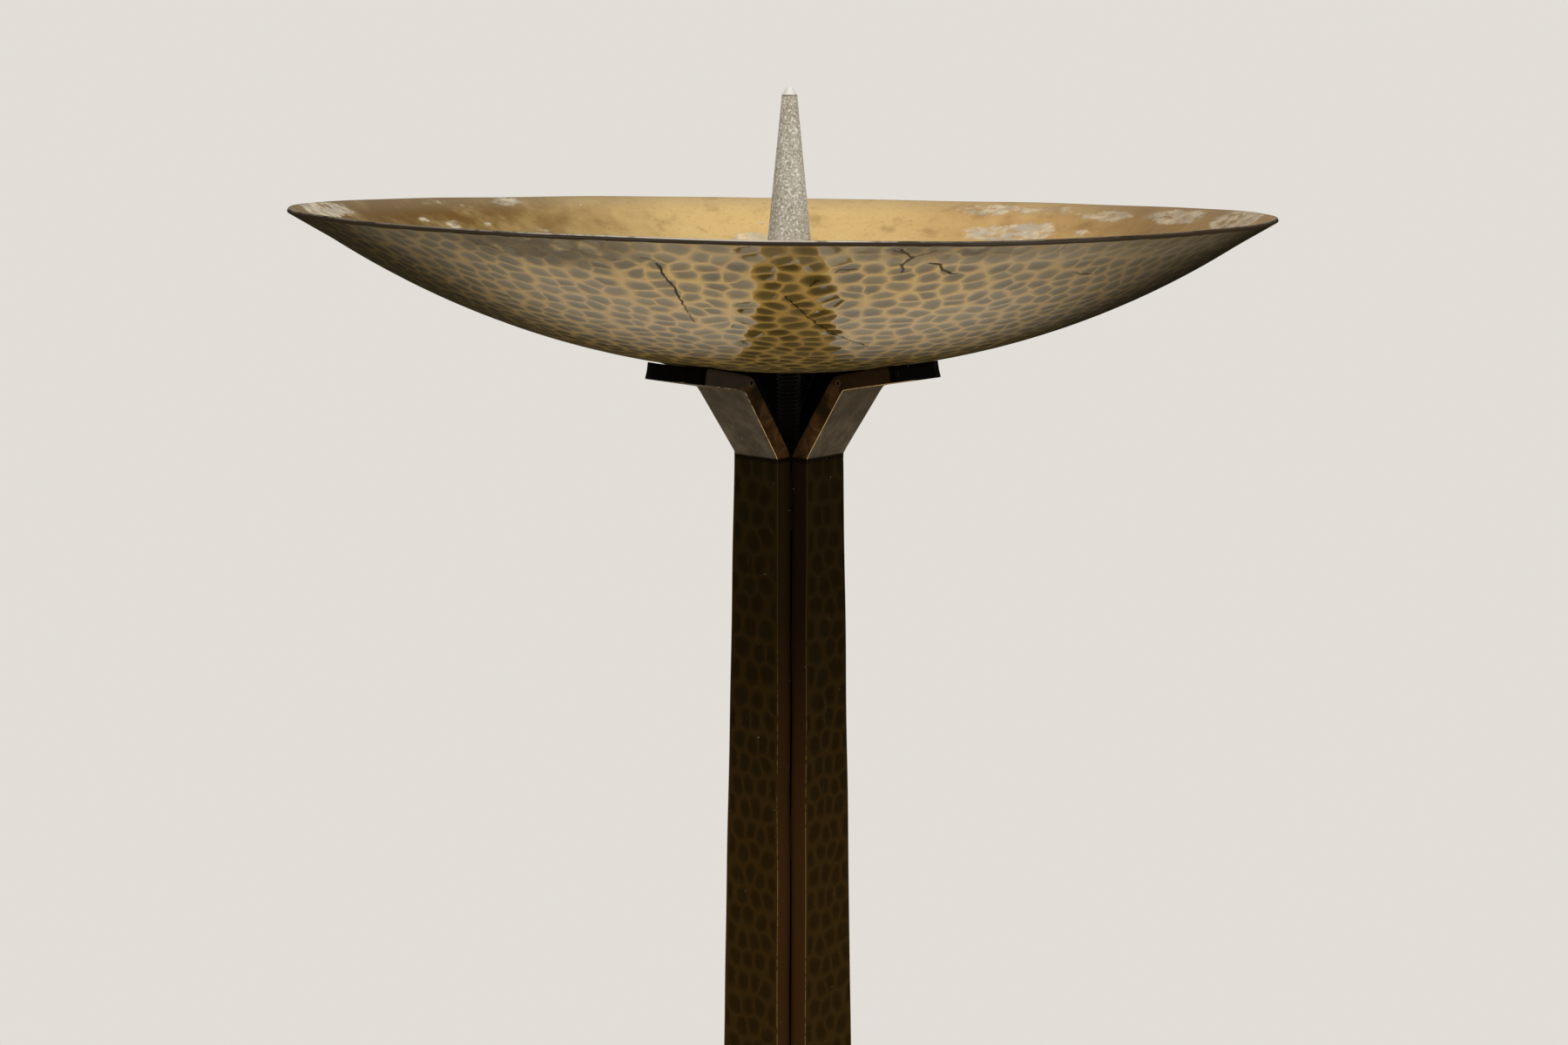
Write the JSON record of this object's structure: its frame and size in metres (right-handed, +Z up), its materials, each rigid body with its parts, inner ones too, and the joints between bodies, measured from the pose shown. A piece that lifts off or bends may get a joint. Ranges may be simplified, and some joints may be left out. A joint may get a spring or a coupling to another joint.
{
  "type": "floor candlestick",
  "caption": "Tall floor candlestick: a splayed column of hammered brass bars carries a wide, shallow hammered drip bowl with a screw-on steel pricket for a large candle.",
  "frame": {"origin": "on the floor, on the column's axis, below the pricket's tip", "axes": "+Z up along the column's axis, the front is -Y, and the four bars stand at 45 degrees to X and Y"},
  "size_m": [0.5, 0.5, 1.0855],
  "materials": {
    "bowl_brass": "hammered sheet brass with an uneven grey-olive patina, golden on the ridges between the hammer marks",
    "bar_brass": "hammered bar with a dark brown patina, worn golden along the edges",
    "pricket_steel": "dull grey with a fine grain, bright at the tip",
    "dark_steel": "dark oiled steel",
    "washer_fibre": "red-brown vulcanised fibre",
    "pad_rubber": "matt black rubber"
  },
  "bodies": {
    "column": {"leg_front_left": "bar_brass", "leg_front_right": "bar_brass", "leg_back_right": "bar_brass", "leg_back_left": "bar_brass", "foot_pad_front_left": "pad_rubber", "foot_pad_front_right": "pad_rubber", "foot_pad_back_right": "pad_rubber", "foot_pad_back_left": "pad_rubber", "foot_screw_front_left": "dark_steel", "foot_screw_front_right": "dark_steel", "foot_screw_back_right": "dark_steel", "foot_screw_back_left": "dark_steel", "foot_block": "bar_brass", "back_web": "bar_brass", "lower_spacer": "bar_brass", "middle_spacer": "bar_brass", "upper_spacer": "bar_brass", "neck_block": "bar_brass", "neck_washer": "dark_steel", "neck_lock_nut": "dark_steel", "tie_rod": "dark_steel"},
    "bowl": {"bowl": "bowl_brass", "fibre_washer": "washer_fibre"},
    "candle_plate": {"pricket_washer": "pricket_steel"},
    "pricket": {"pricket": "pricket_steel"}
  },
  "joints": [
    {"name": "bowl_turn", "type": "hinge", "parent": "column", "child": "bowl", "pos_m": [0, 0, 0.942], "axis": [0, 0, 1], "continuous": true},
    {"name": "pricket_lift", "type": "slide", "parent": "column", "child": "candle_plate", "axis": [0, 0, 1], "range_m": [0, 0.03811]},
    {"name": "pricket_turn", "type": "hinge", "parent": "candle_plate", "child": "pricket", "pos_m": [0, 0, 0.95], "axis": [0, 0, 1], "range_deg": [0, 6480]}
  ],
  "couplings": [
    {"joint": "pricket_turn", "follows": "pricket_lift", "rad_per_m": 2968}
  ]
}
